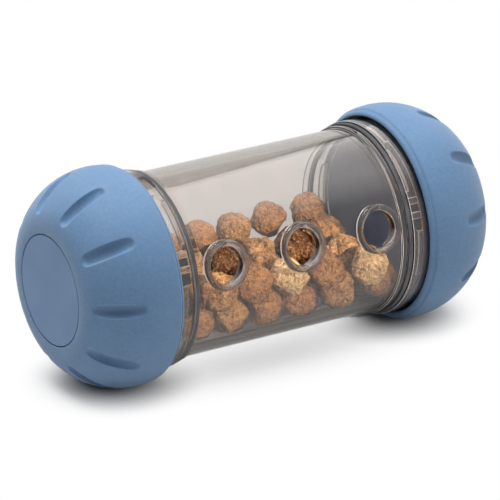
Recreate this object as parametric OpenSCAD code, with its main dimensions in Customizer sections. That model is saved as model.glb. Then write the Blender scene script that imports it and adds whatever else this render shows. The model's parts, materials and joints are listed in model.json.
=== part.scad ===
// Treat dispensing roll toy: a clear chamber tube with three treat ports, closed at
// both ends by rubber-domed caps that twist a bayonet and then pull off for filling.
// Millimetres. The origin is the middle of the roll axis, +X runs along that axis to
// the right cap, +Z is up and the ports face the front, -Y.

/* [Roll] */
// Length over both end discs
overall_length = 186.2; // [160:0.1:230]
// Outer diameter of the chamber tube
tube_diameter = 75; // [60:0.5:90]
// Wall of the chamber tube
tube_wall = 3; // [2.2:0.1:3.6]

/* [Treat ports] */
// Clock angle of the row, from the top towards the front
port_angle = 73.5; // [60:0.5:90]
// Clear bore of a port
port_diameter = 15; // [10:0.1:18]
// Width of the rounded rim around a port
rim_width = 2.5; // [2:0.1:3]
// Height of a rim's crown above the tube
rim_rise = 2.5; // [2:0.1:4]
// Wall of the sleeve that lines a port
sleeve_wall = 1.1; // [0.8:0.1:1.5]
// Room between the outer rims and the tube's flanges
rim_room = 0.7; // [0.4:0.1:4]

/* [Tube ends] */
// Height of each end flange above the tube
flange_stand = 1; // [0.6:0.1:1.6]
// Width of each end flange
flange_width = 2.5; // [2:0.1:4]
// Bevel on the flange's edges
flange_bevel = 0.4; // [0.2:0.05:0.6]
// Step from the tube down to its spigots
neck_step = 1.3; // [1:0.05:1.6]
// Gap between a spigot's end and the floor of the cap's base
spigot_end_gap = 1; // [0.6:0.1:1.6]

/* [Bayonet] */
// Lugs around each spigot
lug_count = 4; // [3:1:4]
// Arc of a lug on the spigot and of a lug in the cap
lug_arc = 30; // [24:0.5:32]
// Clock angle where the first spigot lug starts
lug_start = 80; // [60:1:100]
// Width of a spigot lug along the axis
lug_width = 2.6; // [2:0.1:2.8]
// Width of a cap lug along the axis
cap_lug_width = 2; // [1.6:0.1:2.4]
// Twist that locks a cap
lock_twist = 36; // [34:0.5:38]
// Arc of each stop nib beside a lug
nib_arc = 4.5; // [3:0.1:5]
// Clock angles from a lug back to its lock nib and its entry nib
nib_offsets = [7, 16];

/* [Seal] */
// Width of the seal ring along the axis
seal_width = 2.1; // [1.6:0.1:2.6]
// How far the seal's edge lies inside the collar
seal_inset = 0.6; // [0.3:0.1:1]

/* [Cap collar and base] */
// Height of the collar above the tube
collar_stand = 2.3; // [2:0.1:2.8]
// Wall of the collar
collar_wall = 1.9; // [1.6:0.1:2]
// Collar and seal that show between the flange and the dome
collar_show = 8.7; // [8.2:0.1:11]
// Depth of the base's floor behind the dome's mouth
floor_inset = 0.8; // [0.5:0.1:1.5]
// Thickness of the base's floor
floor_thickness = 3.2; // [2.8:0.1:4]
// Height of the grip ring that the rubber is stretched over
grip_stand = 1.6; // [1:0.1:1.8]
// Width of the grip ring
grip_width = 3; // [2:0.1:4]
// Step from the collar in to the bell that backs the rubber
bell_step = 1.4; // [1:0.1:3]
// Wall of the bell
bell_wall = 2; // [1.5:0.1:3]
// Length of the bell behind the grip ring
bell_length = 11; // [8:0.5:13]
// Diameter of the hub
hub_diameter = 18; // [14:0.5:24]
// Radial ribs between the hub and the bell
rib_count = 6; // [4:1:8]
// Thickness of a rib
rib_thickness = 2; // [1.5:0.1:3]

/* [Rubber dome] */
// How far the dome stands out beyond the tube
dome_overhang = 6.5; // [6:0.1:9]
// Diameter of the flat end face
face_diameter = 48; // [44:0.5:54]
// Radius that rolls from the face into the side
corner_radius = 13.7; // [12:0.1:15]
// Distance from the widest ring to the end face
nose_depth = 27.1; // [25:0.1:30]
// Distance from the widest ring to the mouth
lip_depth = 8.8; // [7.5:0.1:10]
// Bevel on the mouth's outer edge
lip_bevel = 1.3; // [0.6:0.1:1.5]
// Depth of the plain lip in front of the grip ring
lip_land = 3.2; // [2.6:0.1:4]
// Thickness of the rubber at the end face
face_thickness = 5.6; // [4.5:0.1:8]
// Radius of the dome's flat inner face
inner_face_radius = 20; // [16:0.5:24]

/* [Grip scoops] */
// Scoops around each dome
scoop_count = 10; // [6:1:12]
// Width of a scoop at its middle
scoop_width = 5.7; // [4.5:0.1:6.5]
// Depth of a scoop at its middle
scoop_depth = 2.8; // [1.8:0.1:3]
// Straight run of the rod that presses a scoop
scoop_run = 18; // [14:0.5:20]
// Angle of a scoop's middle from the widest ring, about the crown's centre
scoop_middle = 36; // [32:0.5:40]
// Clock angle of the first scoop on the left dome
left_scoop_phase = 14; // [0:1:36]
// Clock angle of the first scoop on the right dome
right_scoop_phase = 8; // [0:1:36]

/* [End disc] */
// Rubber left around the disc on the end face
disc_margin = 1.9; // [1:0.1:4]
// Thickness of the disc
disc_thickness = 1.6; // [1.2:0.1:2.5]
// Bevel on the disc's edge
disc_bevel = 0.3; // [0.1:0.05:0.5]
// Diameter of the disc's stem
stem_diameter = 8; // [6:0.1:10]
// Length of the stem inside the hub
stem_grip = 20; // [14:0.5:22]

/* [Kibble] */
// Number of pieces in the chamber
kibble_count = 50; // [20:1:50]
// Diameter of the sphere that holds one piece
kibble_size = 16; // [14:0.1:17]

/* [Fits] */
// Radial running gap in the bayonet and at the seal
running_gap = 0.3; // [0.2:0.05:0.4]
// Axial gap between the two sets of lugs, and from the cap lugs to the seal
lug_gap = 0.4; // [0.3:0.05:0.5]
// Gap of a pressed or snapped fit
press_gap = 0.05; // [0.02:0.01:0.1]
// Shadow gap between the collar and the dome's lip
lip_gap = 0.7; // [0.3:0.05:0.8]
// Shadow gap around the end disc
disc_gap = 0.4; // [0.2:0.05:0.6]
// Room that a piece of kibble keeps from the walls
kibble_gap = 0.3; // [0.2:0.1:1]

/* [Hidden] */
$fn = 96;

// How far a shape runs into what it is fused with, or past what it cuts
sink = 0.5;

// Radii about the roll axis
tube_r = tube_diameter / 2;
bore_r = tube_r - tube_wall;
flange_r = tube_r + flange_stand;
spigot_r = tube_r - neck_step;
collar_r = tube_r + collar_stand;
collar_bore_r = collar_r - collar_wall;
plug_r = collar_bore_r - press_gap;
lug_r = collar_bore_r - running_gap;
cap_lug_r = spigot_r + running_gap;
seal_r = collar_r - seal_inset;
grip_r = collar_r + grip_stand;
bell_r = collar_r - bell_step;
hub_r = hub_diameter / 2;
stem_r = stem_diameter / 2;
stem_bevel = stem_r / 4;
dome_r = tube_r + dome_overhang;
face_r = face_diameter / 2;
disc_r = face_r - disc_margin;

// Stations along the roll axis, measured from its middle
face_z = overall_length / 2;
crown_z = face_z - nose_depth;
mouth_z = crown_z - lip_depth;
flange_z = mouth_z - collar_show;
collar_z = flange_z + seal_width;
cap_lug_z = collar_z + lug_gap;
lug_z = cap_lug_z + cap_lug_width + lug_gap;
floor_z = mouth_z + floor_inset;
floor_back_z = floor_z + floor_thickness;
spigot_z = floor_z - spigot_end_gap;
grip_z = mouth_z + lip_land;
bell_z = grip_z + grip_width;
bell_end_z = bell_z + bell_length;
rib_top_z = bell_z + bell_length / 2;
face_in_z = face_z - face_thickness;
disc_z = face_z - disc_thickness;
stem_tip_z = face_in_z - stem_grip;

// The dome's outline is two tangent arcs: a corner arc that leaves the flat face and a
// crown arc that peaks at the widest ring and runs back to the mouth.
crown_run = dome_r - face_r;
corner_run = nose_depth - corner_radius;
crown_radius = (crown_run ^ 2 + corner_run ^ 2 - corner_radius ^ 2)
    / (2 * (crown_run - corner_radius));
crown_r = dome_r - crown_radius;
corner_z = face_z - corner_radius;
tangent_angle = atan2(corner_z - crown_z, face_r - crown_r);
mouth_r = crown_r + sqrt(crown_radius ^ 2 - lip_depth ^ 2);

// Flats that roll the corner arc into the face
corner_steps = 10;

// The rod that presses a scoop, and how far its line stands off the crown's centre
scoop_rod = (scoop_width ^ 2 / 4 + scoop_depth ^ 2) / (2 * scoop_depth);
scoop_stand = crown_radius + scoop_rod - scoop_depth;
// The rod's end balls are a little larger than the rod, so that the two cross cleanly
scoop_end_ball = scoop_rod * 1.02;

rim_r = port_diameter / 2 + rim_width;
rim_bead = rim_width / 2;
rim_bead_z = tube_r + rim_rise - rim_bead;
sleeve_r = port_diameter / 2 + sleeve_wall;
// The middle port is halfway along the tube, and the outer rims stand by its flanges
port_pitch = flange_z - flange_width - rim_room - rim_r;

// Settling of the kibble: steps that drop it, steps that only part it, and a step's drop
settle_steps = 120;
part_steps = 120;
settle_drop = kibble_size / 32;
// Least distance between two pieces' centres
kibble_pitch = kibble_size + kibble_gap;
// Loose grid that the pieces start from: files across the chamber, whole layers, and a
// place's jitter
kibble_files = 4;
kibble_layers = 2;
kibble_jitter = kibble_size / 8;
kibble_seed = 49;
// Least and greatest width of a piece, as shares of the sphere that holds it
kibble_shares = [0.78, 0.92];

// Turns local +Z onto the roll axis; local angles then run about that axis
module on_roll_axis() {
    rotate([0, 90, 0]) children();
}

// Turns what lies on local +X to a clock angle, from the top towards the front
module at_clock(angle) {
    rotate([0, 0, angle + 180]) children();
}

module at_end(side) {
    if (side > 0) children();
    else mirror([0, 0, 1]) children();
}

// A block that follows the roll axis through an arc, centred on a clock angle
module arc_block(r_in, r_out, z, width, clock, arc) {
    at_clock(clock - arc / 2)
        rotate_extrude(angle = arc)
            translate([r_in, z]) square([r_out - r_in, width]);
}

module lug_places() {
    for (i = [0 : lug_count - 1])
        rotate([0, 0, i * 360 / lug_count]) children();
}

// Stands local +Z on a port's own axis, which runs out square to the roll axis; the ports
// are -1, 0 and 1, from left to right
module at_port(port) {
    at_clock(port_angle)
        translate([0, 0, port * port_pitch])
            rotate([0, 90, 0]) children();
}

// Half of the tube's outline, from its middle to one end
function tube_outline() = [
    [tube_r, flange_z - flange_width],
    [flange_r - flange_bevel, flange_z - flange_width],
    [flange_r, flange_z - flange_width + flange_bevel],
    [flange_r, flange_z - flange_bevel],
    [flange_r - flange_bevel, flange_z],
    [spigot_r, flange_z],
    [spigot_r, spigot_z],
    [bore_r, spigot_z]
];

function mirrored(points) = [
    for (i = [len(points) - 1 : -1 : 0]) [points[i].x, -points[i].y]
];

module spigot_lugs() {
    lug_places() {
        arc_block(spigot_r - sink, lug_r, lug_z, lug_width, lug_start + lug_arc / 2, lug_arc);
        for (offset = nib_offsets)
            arc_block(spigot_r - sink, lug_r, cap_lug_z, lug_z + lug_width - cap_lug_z,
                lug_start - offset - nib_arc / 2, nib_arc);
    }
}

// Clear moulded chamber with flanges, spigots, bayonet lugs and the holes for the rims
module tube() {
    color([0.55, 0.53, 0.52, 0.4]) on_roll_axis() difference() {
        union() {
            rotate_extrude() polygon(concat(mirrored(tube_outline()), tube_outline()));
            for (side = [-1, 1]) at_end(side) spigot_lugs();
        }
        for (port = [-1 : 1])
            at_port(port) cylinder(r = sleeve_r + press_gap, h = tube_r + sink);
    }
}

// Rounded clear rim with a sleeve that lines the port
module port_rim(port) {
    color([0.8, 0.8, 0.8, 0.6]) on_roll_axis() union() {
        difference() {
            at_port(port) rotate_extrude() union() {
                translate([port_diameter / 2, 0]) square([rim_width, rim_bead_z]);
                intersection() {
                    translate([port_diameter / 2 + rim_bead, rim_bead_z]) circle(rim_bead);
                    translate([port_diameter / 2, rim_bead_z]) square([rim_width, rim_width]);
                }
            }
            cylinder(r = tube_r + press_gap, h = overall_length, center = true);
        }
        difference() {
            at_port(port) rotate_extrude()
                translate([port_diameter / 2, 0]) square([sleeve_wall, rim_bead_z]);
            cylinder(r = bore_r, h = overall_length, center = true);
        }
    }
}

// Flat rubber seal between the flange and the collar
module seal(side) {
    color([0.12, 0.12, 0.13]) on_roll_axis() at_end(side)
        rotate_extrude() polygon([
            [cap_lug_r, flange_z],
            [seal_r - flange_bevel, flange_z],
            [seal_r, flange_z + flange_bevel],
            [seal_r, collar_z - flange_bevel],
            [seal_r - flange_bevel, collar_z],
            [cap_lug_r, collar_z]
        ]);
}

// Smoke collar that shows between the seal and the dome, with the cap's lugs inside
module collar(side) {
    color([0.33, 0.32, 0.32, 0.7]) on_roll_axis() at_end(side) union() {
        rotate_extrude()
            translate([collar_bore_r, collar_z]) square([collar_wall, grip_z - collar_z]);
        cap_lugs();
    }
}

// Base of a cap: a floor that plugs into the collar, a grip ring that the rubber is
// stretched over, and a bell, a hub and ribs that back the rubber
module base(side) {
    color([0.3, 0.35, 0.43]) on_roll_axis() at_end(side) difference() {
        union() {
            rotate_extrude() polygon([
                [0, floor_z],
                [plug_r, floor_z],
                [plug_r, grip_z],
                [grip_r, grip_z],
                [grip_r, bell_z],
                [bell_r, bell_z],
                [bell_r, bell_end_z],
                [bell_r - bell_wall, bell_end_z],
                [bell_r - bell_wall, floor_back_z],
                [0, floor_back_z]
            ]);
            translate([0, 0, floor_back_z - sink])
                cylinder(r = hub_r, h = face_in_z - floor_back_z + sink);
            for (i = [0 : rib_count - 1]) rotate([0, 0, i * 360 / rib_count])
                translate([hub_r - sink, -rib_thickness / 2, floor_back_z - sink])
                    cube([bell_r - bell_wall - hub_r + 2 * sink, rib_thickness,
                        rib_top_z - floor_back_z + sink]);
        }
        translate([0, 0, stem_tip_z - lug_gap])
            cylinder(r = stem_r + press_gap, h = face_z - stem_tip_z);
    }
}

// Lugs inside the collar, which lie between the spigot's lugs until the cap is twisted
module cap_lugs() {
    lug_places()
        arc_block(cap_lug_r, collar_bore_r + sink, cap_lug_z, cap_lug_width,
            lug_start + lug_arc / 2 + lock_twist, lug_arc);
}

// A point on the corner arc, by its angle about the arc's centre
function corner_point(angle) =
    [face_r + corner_radius * cos(angle), corner_z + corner_radius * sin(angle)];

// Outline of the dome: the crown's circle, cut by the mouth, the corner arc and the face
module dome_outline() {
    step = (90 - tangent_angle) / corner_steps;
    start = tangent_angle + step / 2;
    intersection() {
        translate([crown_r, crown_z]) circle(crown_radius);
        polygon(concat(
            [
                [0, mouth_z],
                [mouth_r - lip_bevel, mouth_z],
                [mouth_r + lip_bevel, mouth_z + 2 * lip_bevel],
                [mouth_r + dome_r, crown_z],
                corner_point(start) + dome_r * [sin(start), -cos(start)]
            ],
            [for (i = [0 : corner_steps - 1]) corner_point(start + i * step)],
            [[face_r, face_z], [0, face_z]]
        ));
    }
}

// Hollow of the dome, which the collar and the base fill up to the bell's end
module dome_hollow() {
    rotate_extrude() polygon([
        [0, mouth_z - sink],
        [collar_r + lip_gap, mouth_z - sink],
        [collar_r + lip_gap, grip_z],
        [grip_r + press_gap, grip_z],
        [grip_r + press_gap, bell_z],
        [bell_r + press_gap, bell_z],
        [bell_r + press_gap, bell_end_z],
        [inner_face_radius, face_in_z],
        [0, face_in_z]
    ]);
}

// One scoop on local +X: a straight rod with round ends, laid along the crown
module scoop() {
    rotate([90, 0, 0]) translate([crown_r, crown_z, 0])
        rotate([0, 0, scoop_middle]) translate([scoop_stand, 0, 0]) rotate([90, 0, 0]) {
            cylinder(r = scoop_rod, h = scoop_run, center = true);
            for (end = [-1, 1])
                translate([0, 0, end * scoop_run / 2]) sphere(scoop_end_ball);
        }
}

// Soft rubber dome with its ring of grip scoops and the seat of the end disc
module dome(side, phase) {
    color([0.43, 0.56, 0.71]) on_roll_axis() at_end(side) difference() {
        rotate_extrude() dome_outline();
        dome_hollow();
        translate([0, 0, disc_z]) cylinder(r = disc_r + disc_gap, h = disc_thickness + sink);
        cylinder(r = stem_r + running_gap, h = face_z);
        for (i = [0 : scoop_count - 1])
            at_clock(phase + i * 360 / scoop_count) scoop();
    }
}

// End disc, whose stem goes through the rubber into the hub and holds the dome on
module disc(side) {
    color([0.4, 0.49, 0.62]) on_roll_axis() at_end(side)
        rotate_extrude() polygon([
            [0, stem_tip_z],
            [stem_r - stem_bevel, stem_tip_z],
            [stem_r, stem_tip_z + stem_bevel],
            [stem_r, disc_z],
            [disc_r, disc_z],
            [disc_r, face_z - disc_bevel],
            [disc_r - disc_bevel, face_z],
            [0, face_z]
        ]);
}

function total(v) = [for (p = v) 1] * v;

// Keeps the centre of a piece inside the chamber
function held(p) =
    let (
        reach = bore_r - kibble_size / 2 - kibble_gap,
        out = norm([p.y, p.z]),
        back = out > reach ? reach / out : 1,
        end = floor_z - kibble_size / 2 - kibble_gap
    )
    [max(-end, min(end, p.x)), p.y * back, p.z * back];

// Half of the way that parts a piece from each piece it runs into
function parted(places, i) = total([
    for (j = [0 : len(places) - 1])
        let (away = places[i] - places[j], gap = norm(away))
        (j == i || gap >= kibble_pitch) ? [0, 0, 0] : away * (kibble_pitch / gap - 1) / 2
]);

function settled(places, steps, drop) =
    steps == 0 ? places : settled(
        [for (i = [0 : len(places) - 1]) held(places[i] + parted(places, i) - [0, 0, drop])],
        steps - 1, drop);

// Pieces start on a loose jittered grid, in layers from the left end that leave some room in
// front of the right cap. The last few start on top by that cap, and all settle into a heap.
function kibble_places() =
    let (
        jitter = rands(-kibble_jitter, kibble_jitter, 3 * kibble_count, kibble_seed),
        along = floor(2 * floor_z / kibble_size) - 1,
        grid = [for (i = [0 : kibble_count - 1])
            let (layer = floor(i / (along * kibble_files)), way = layer < kibble_layers ? 1 : -1)
            [
                way * ((i % along + 0.5) * kibble_pitch - floor_z) + jitter[3 * i],
                ((kibble_files - 1) / 2 - floor(i / along) % kibble_files) * kibble_pitch
                    + jitter[3 * i + 1],
                (layer - 1) * kibble_pitch + jitter[3 * i + 2]
            ]
        ]
    )
    settled(settled(grid, settle_steps, settle_drop), part_steps, 0);

// One baked piece: a block with its corners rounded off
module kibble_piece(shares) {
    intersection() {
        cube(kibble_size * shares, center = true);
        sphere(d = kibble_size);
    }
}

// The load of kibble that the photographed chamber holds, lying loose
module treat_kibble() {
    places = kibble_places();
    turns = rands(0, 360, 3 * kibble_count, kibble_seed + 1);
    shares = rands(kibble_shares[0], kibble_shares[1], 3 * kibble_count, kibble_seed + 2);
    color([0.55, 0.36, 0.2])
        for (i = [0 : kibble_count - 1])
            translate(places[i])
                rotate([turns[3 * i], turns[3 * i + 1], turns[3 * i + 2]])
                    kibble_piece([shares[3 * i], shares[3 * i + 1], shares[3 * i + 2]]);
}

tube();
port_rim(-1);  // port_rim_left
port_rim(0);  // port_rim_middle
port_rim(1);  // port_rim_right
seal(-1);  // left_seal
seal(1);  // right_seal
collar(-1);  // left_collar
collar(1);  // right_collar
base(-1);  // left_base
base(1);  // right_base
dome(-1, left_scoop_phase);  // left_dome
dome(1, right_scoop_phase);  // right_dome
disc(-1);  // left_disc
disc(1);  // right_disc
treat_kibble();
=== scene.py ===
# %% [markdown]
# # Treat dispensing roll toy
#
# The real toy is a clear smoke-tinted tube that holds kibble. Three rimmed ports let the
# pieces fall out as a dog rolls it, and a blue rubber dome sits on the twist-off cap at each
# end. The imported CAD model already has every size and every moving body. This lesson makes
# each piece again with soft edges and a real finish, in the same place, and lights it as a
# product on white.

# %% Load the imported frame
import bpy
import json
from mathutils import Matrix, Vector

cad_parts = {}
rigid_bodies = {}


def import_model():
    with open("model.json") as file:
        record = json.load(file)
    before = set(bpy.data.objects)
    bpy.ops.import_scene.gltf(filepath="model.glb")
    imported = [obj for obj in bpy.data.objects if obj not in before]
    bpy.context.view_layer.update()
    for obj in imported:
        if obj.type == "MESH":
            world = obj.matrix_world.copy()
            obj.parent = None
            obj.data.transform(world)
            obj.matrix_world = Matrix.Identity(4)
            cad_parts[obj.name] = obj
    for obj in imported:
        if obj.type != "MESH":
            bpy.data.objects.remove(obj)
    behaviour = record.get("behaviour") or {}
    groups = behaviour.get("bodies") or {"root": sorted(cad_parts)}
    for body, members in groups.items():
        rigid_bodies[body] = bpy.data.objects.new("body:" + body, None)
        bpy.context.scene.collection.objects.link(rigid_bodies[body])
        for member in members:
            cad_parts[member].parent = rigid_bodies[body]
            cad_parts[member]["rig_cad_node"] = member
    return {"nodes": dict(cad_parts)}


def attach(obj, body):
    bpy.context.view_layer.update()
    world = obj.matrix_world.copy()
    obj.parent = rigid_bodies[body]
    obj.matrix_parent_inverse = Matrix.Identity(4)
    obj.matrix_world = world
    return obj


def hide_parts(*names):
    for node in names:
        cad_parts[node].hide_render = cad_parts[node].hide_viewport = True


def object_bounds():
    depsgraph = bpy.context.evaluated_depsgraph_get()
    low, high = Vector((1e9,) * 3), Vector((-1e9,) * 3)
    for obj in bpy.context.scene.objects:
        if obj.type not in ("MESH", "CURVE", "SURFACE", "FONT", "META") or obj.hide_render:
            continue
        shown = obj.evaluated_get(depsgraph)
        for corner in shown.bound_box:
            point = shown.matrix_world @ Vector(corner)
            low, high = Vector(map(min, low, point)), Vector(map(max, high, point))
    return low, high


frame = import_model()
cad_low, cad_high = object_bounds()
print("CAD box", [round(side, 4) for side in cad_high - cad_low])

# %% [markdown]
# Every piece is modelled where it sits in the toy, with its object at the origin of the shared
# frame and its place in its mesh. A few helpers select, name, copy, join and place objects, and
# apply modifiers. Sizes are in millimetres.

# %% Helpers for any piece
import json
import math
import random

import bpy
from mathutils import Quaternion, Vector

MM = 0.001
MERGE = 2e-6


def alone(piece):
    """Selects one object and nothing else."""
    bpy.ops.object.select_all(action="DESELECT")
    piece.select_set(True)
    bpy.context.view_layer.objects.active = piece


def named(name):
    """Names the object that was just made, and its mesh."""
    piece = bpy.context.object
    piece.name = name
    piece.data.name = name
    return piece


def added(name, primitive, **size):
    """Adds a primitive with nothing else selected, and names it."""
    bpy.ops.object.select_all(action="DESELECT")
    primitive(**size)
    return named(name)


def copied(piece, name):
    """A copy of a piece with its own mesh."""
    alone(piece)
    bpy.ops.object.duplicate()
    return named(name)


def joined(pieces):
    """One object from several."""
    alone(pieces[0])
    for piece in pieces:
        piece.select_set(True)
    bpy.ops.object.join()
    return bpy.context.object


def place(piece, turn=(0, 0, 0), move=(0, 0, 0), scale=(1, 1, 1)):
    """Turns, moves or mirrors a piece, and puts its place into its mesh."""
    alone(piece)
    piece.rotation_euler = [math.radians(angle) for angle in turn]
    piece.location = Vector(move) * MM
    piece.scale = scale
    bpy.ops.object.transform_apply(location=True, rotation=True, scale=True)
    if scale[0] * scale[1] * scale[2] < 0:
        bpy.ops.object.mode_set(mode="EDIT")
        bpy.ops.mesh.select_all(action="SELECT")
        bpy.ops.mesh.normals_make_consistent(inside=False)
        bpy.ops.object.mode_set(mode="OBJECT")
    return piece


# %% Helpers that finish a piece
def applied(piece, kind, **settings):
    """Gives a piece a modifier with these settings, and applies it."""
    alone(piece)
    step = piece.modifiers.new(kind.lower(), kind)
    for setting, value in settings.items():
        setattr(step, setting, value)
    bpy.ops.object.modifier_apply(modifier=step.name)
    return piece


def cut_or_fused(piece, tool, operation):
    """Cuts a tool from a piece or fuses it on, and removes the tool."""
    applied(piece, "BOOLEAN", operation=operation, solver="EXACT", object=tool)
    bpy.data.objects.remove(tool)


def smoothed(piece, degrees=30, flats=True):
    """Smooth shading that keeps edges sharper than an angle, and broad faces flat between them."""
    alone(piece)
    bpy.ops.object.shade_smooth_by_angle(angle=math.radians(degrees))
    if flats:
        applied(piece, "WEIGHTED_NORMAL", keep_sharp=True)
    piece.data.calc_loop_triangles()
    print(piece.name, len(piece.data.loop_triangles), "triangles")
    return piece


def both_sides(right_piece, left_name):
    """A right-hand piece and its mirror image, by side."""
    sides = {"right": smoothed(right_piece)}
    sides["left"] = smoothed(place(copied(right_piece, left_name), scale=(-1, 1, 1)))
    return sides


# %% [markdown]
# Most pieces of the toy are round about one line, the roll axis, as if turned on a lathe. Such
# a piece could start from a cylinder. Spinning its outline is better here: the corners of the
# outline are eased before the spin, so that every edge gets the small radius that catches the
# light on a moulded part.

# %% Helpers for turned pieces
FULL_TURN = [(360, 192)]


def eased(corners, steps=3):
    """An outline's points, in mm, from corners of (along, radius, ease)."""
    points = []
    for i, (along, radius, ease) in enumerate(corners):
        here = Vector((along, radius))
        if ease == 0:
            points.append(here)
            continue
        before = Vector(corners[i - 1][:2])
        after = Vector(corners[(i + 1) % len(corners)][:2])
        start = here + (before - here).normalized() * ease
        end = here + (after - here).normalized() * ease
        for k in range(steps + 1):
            share = k / steps
            points.append(start.lerp(here, share).lerp(here.lerp(end, share), share))
    return points


def drawn(name, points, closed):
    """Draws an outline above the roll axis by extruding one vertex from point to point."""
    piece = added(name, bpy.ops.mesh.primitive_plane_add, size=MM)
    bpy.ops.object.mode_set(mode="EDIT")
    bpy.ops.mesh.merge(type="CENTER")
    places = [Vector((along, 0, radius)) * MM for along, radius in points]
    if closed:
        places.append(places[0])
    bpy.ops.transform.translate(value=places[0])
    for here, there in zip(places, places[1:]):
        bpy.ops.mesh.extrude_region_move(TRANSFORM_OT_translate={"value": there - here})
    return piece


def turned(name, points, turns=FULL_TURN, closed=True):
    """Spins an outline about the roll axis, through (degrees, steps) one after another."""
    piece = drawn(name, points, closed)
    bpy.ops.mesh.select_all(action="SELECT")
    for degrees, steps in turns:
        bpy.ops.mesh.spin(
            steps=steps, angle=math.radians(degrees), center=(0, 0, 0), axis=(-1, 0, 0)
        )
    bpy.ops.mesh.select_all(action="SELECT")
    bpy.ops.mesh.remove_doubles(threshold=MERGE)
    bpy.ops.mesh.fill_holes(sides=0)
    bpy.ops.mesh.normals_make_consistent(inside=False)
    bpy.ops.object.mode_set(mode="OBJECT")
    return piece


# %% [markdown]
# The bayonet is the mechanism that shows through the clear collars. On each spigot of the tube
# four long lugs and eight short stop nibs stand in a ring. Each is a small block that follows
# the round, so it is a rectangle spun through a short arc, with its edges bevelled. One of
# each is modelled and copied round, and then mirrored to the other end. An attribute marks the
# eased edges, where the clear finish later paints a highlight.

# %% Blocks that follow the round
FUSE = 0.5
BLOCK_EASE = 0.4
OBLIQUE = 0.98
SHARP = math.radians(40)


def edges_marked(piece):
    """Marks the eased edges: faces that look neither along, nor out from, nor round the axis."""
    marks = []
    for face in piece.data.polygons:
        outward = Vector((0, face.center.y, face.center.z)).normalized()
        ways = (Vector((1, 0, 0)), outward, outward.cross(Vector((1, 0, 0))))
        marks.append(float(max(abs(face.normal.dot(way)) for way in ways) < OBLIQUE))
    piece.data.attributes.new("edge", "FLOAT", "FACE").data.foreach_set("value", marks)
    return piece


def arc_block(name, along, radii, clock, arc, steps):
    """A bevelled block from one clock angle on; clock angles run from the top to the front."""
    low, high = along
    inner, outer = radii
    corners = [(low, inner), (low, outer), (high, outer), (high, inner)]
    block = turned(name, corners, [(arc, steps)])
    bpy.ops.object.mode_set(mode="EDIT")
    bpy.ops.mesh.select_all(action="DESELECT")
    bpy.ops.mesh.edges_select_sharp(sharpness=SHARP)
    bpy.ops.mesh.bevel(offset=BLOCK_EASE * MM, segments=2)
    bpy.ops.object.mode_set(mode="OBJECT")
    return place(edges_marked(block), turn=(clock, 0, 0))


def ring_of(piece, count):
    """Copies of a piece at equal angles round the roll axis, as one object."""
    ring = [piece]
    for i in range(1, count):
        ring.append(place(copied(piece, piece.name), turn=(i * 360 / count, 0, 0)))
    return joined(ring)


LUG_COUNT = 4
LUG_ARC = 30
LUG_STEPS = 16
LUG_START = 80
NIB_ARC = 4.5
NIB_STEPS = 3
NIB_STARTS = (68.5, 59.5)
SPIGOT_RADII = (36.2 - FUSE, 37.6)
LUG_STATIONS = (53.4, 56.0)
NIB_STATIONS = (51.0, 56.0)


def at_both_ends(piece):
    """A piece and its mirror image at the other end, as one object."""
    return joined([piece, place(copied(piece, piece.name), scale=(-1, 1, 1))])


lug = arc_block("spigot_lug", LUG_STATIONS, SPIGOT_RADII, LUG_START, LUG_ARC, LUG_STEPS)
nibs = [
    arc_block("stop_nib", NIB_STATIONS, SPIGOT_RADII, start, NIB_ARC, NIB_STEPS)
    for start in NIB_STARTS
]
spigot_lugs = at_both_ends(ring_of(lug, LUG_COUNT))
stop_nibs = at_both_ends(ring_of(joined(nibs), LUG_COUNT))
print("bayonet:", 2 * LUG_COUNT, "lugs and", 2 * LUG_COUNT * len(NIB_STARTS), "nibs")

# %% [markdown]
# The tube is one clear moulding: a plain chamber, a flange near each end, and a thinner spigot
# that the cap slides over. Clear plastic shows both of its faces, so the wall has its real
# thickness, the lugs are fused on and the ports are cut through. The long faces are divided
# along the tube, which keeps the shading true around the holes.

# %% The clear tube
PORT_CLOCK = 73.5
PORT_PLACES = {"left": -35.3, "middle": 0, "right": 35.3}
HOLE_R = 8.65
HOLE_DEPTH = 20
HOLE_SIDES = 96
TUBE_R = 37.5
BORE_R = 34.5
TUBE_DIVISIONS = 24


def run(start, end, count):
    """Plain points that divide the way between two corners."""
    return [(*Vector(start).lerp(Vector(end), k / count), 0) for k in range(1, count)]


tube_end = [
    (46.0, TUBE_R, 0.3), (46.0, 38.5, 0.35), (48.5, 38.5, 0.35), (48.5, 36.2, 0.2),
    (57.0, 36.2, 0.4), (57.0, BORE_R, 0.4),
]
tube_start = [(-along, radius, ease) for along, radius, ease in reversed(tube_end)]
outside = run((-46.0, TUBE_R), (46.0, TUBE_R), TUBE_DIVISIONS)
inside = run((57.0, BORE_R), (-57.0, BORE_R), TUBE_DIVISIONS)
tube = edges_marked(turned("chamber_tube", eased(tube_start + outside + tube_end + inside)))
cut_or_fused(tube, spigot_lugs, "UNION")
cut_or_fused(tube, stop_nibs, "UNION")
for along in PORT_PLACES.values():
    hole = added(
        "port_hole", bpy.ops.mesh.primitive_cylinder_add,
        vertices=HOLE_SIDES, radius=HOLE_R * MM, depth=HOLE_DEPTH * MM,
    )
    place(hole, move=(0, 0, TUBE_R))
    place(hole, turn=(PORT_CLOCK, 0, 0), move=(along, 0, 0))
    cut_or_fused(tube, hole, "DIFFERENCE")
smoothed(tube)

# %% [markdown]
# A rounded clear rim lines each port. It is turned about the port's own line, so its outline
# is spun first and then stood on the tube. Its foot has to lie on a round wall: the points of
# the foot and of the sleeve's end are dropped on to the wall, each by its own distance from
# the port's middle. One rim is modelled and copied to the other two ports.

# %% The port rims
RIM_INNER = 7.5
RIM_OUTER = 10.0
RIM_BEAD = 1.25
RIM_TOP = 40.0
SLEEVE_R = 8.6
FOOT_R = 37.55
FOOT_EASE = 0.2
RIM_TURN = [(360, 128)]

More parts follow.
